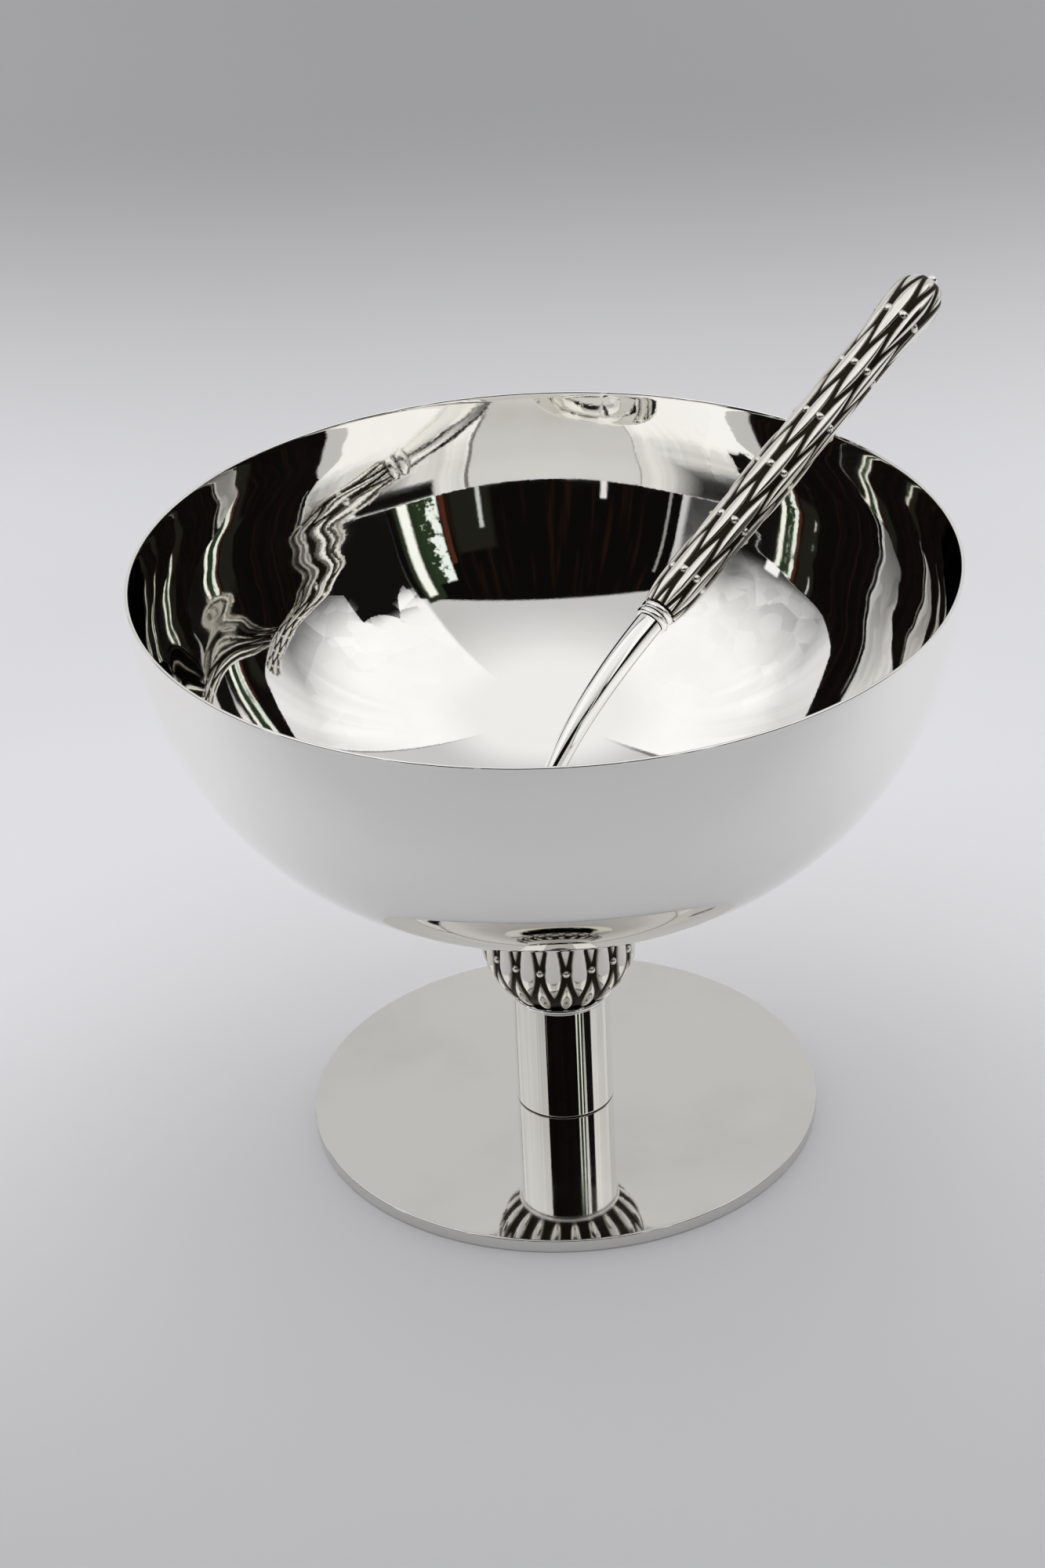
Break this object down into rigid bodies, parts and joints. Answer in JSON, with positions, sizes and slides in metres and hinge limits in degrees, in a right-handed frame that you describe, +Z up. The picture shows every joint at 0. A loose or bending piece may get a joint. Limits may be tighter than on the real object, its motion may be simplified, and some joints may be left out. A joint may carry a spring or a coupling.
{
  "type": "punch bowl with ladle",
  "caption": "Hemispherical polished metal bowl on a short tube stem and round disc foot, with a leaf-cast collar and a loose ladle whose cast leaf handle leans on the rim.",
  "frame": {"origin": "centre of the flat underside of the foot, on the bowl's axis", "axes": "+Z up along the bowl's axis, the front faces -Y, the ladle's handle points to +X and +Y"},
  "size_m": [0.2667, 0.2621, 0.2425],
  "materials": {
    "polished_silver": "mirror polished silver",
    "cast_silver": "cast silver with darkened recesses",
    "brass_rod": "plain turned rod"
  },
  "bodies": {
    "pedestal_bowl": {"bowl": "polished_silver", "bowl_boss": "polished_silver", "leaf_collar": "cast_silver", "neck_ring": "polished_silver", "stem_tube": "polished_silver", "tie_stud": "brass_rod", "stem_spigot": "polished_silver", "foot_plate": "polished_silver"},
    "ladle": {"ladle_cup": "polished_silver", "ladle_shank": "polished_silver", "shank_ring_lower": "polished_silver", "shank_ring_upper": "polished_silver", "ladle_grip": "cast_silver", "grip_button": "polished_silver"}
  },
  "joints": [
    {"name": "ladle_lift", "type": "slide", "parent": "pedestal_bowl", "child": "ladle", "axis": [0, 0, 1], "range_m": [0, 0.13]}
  ]
}
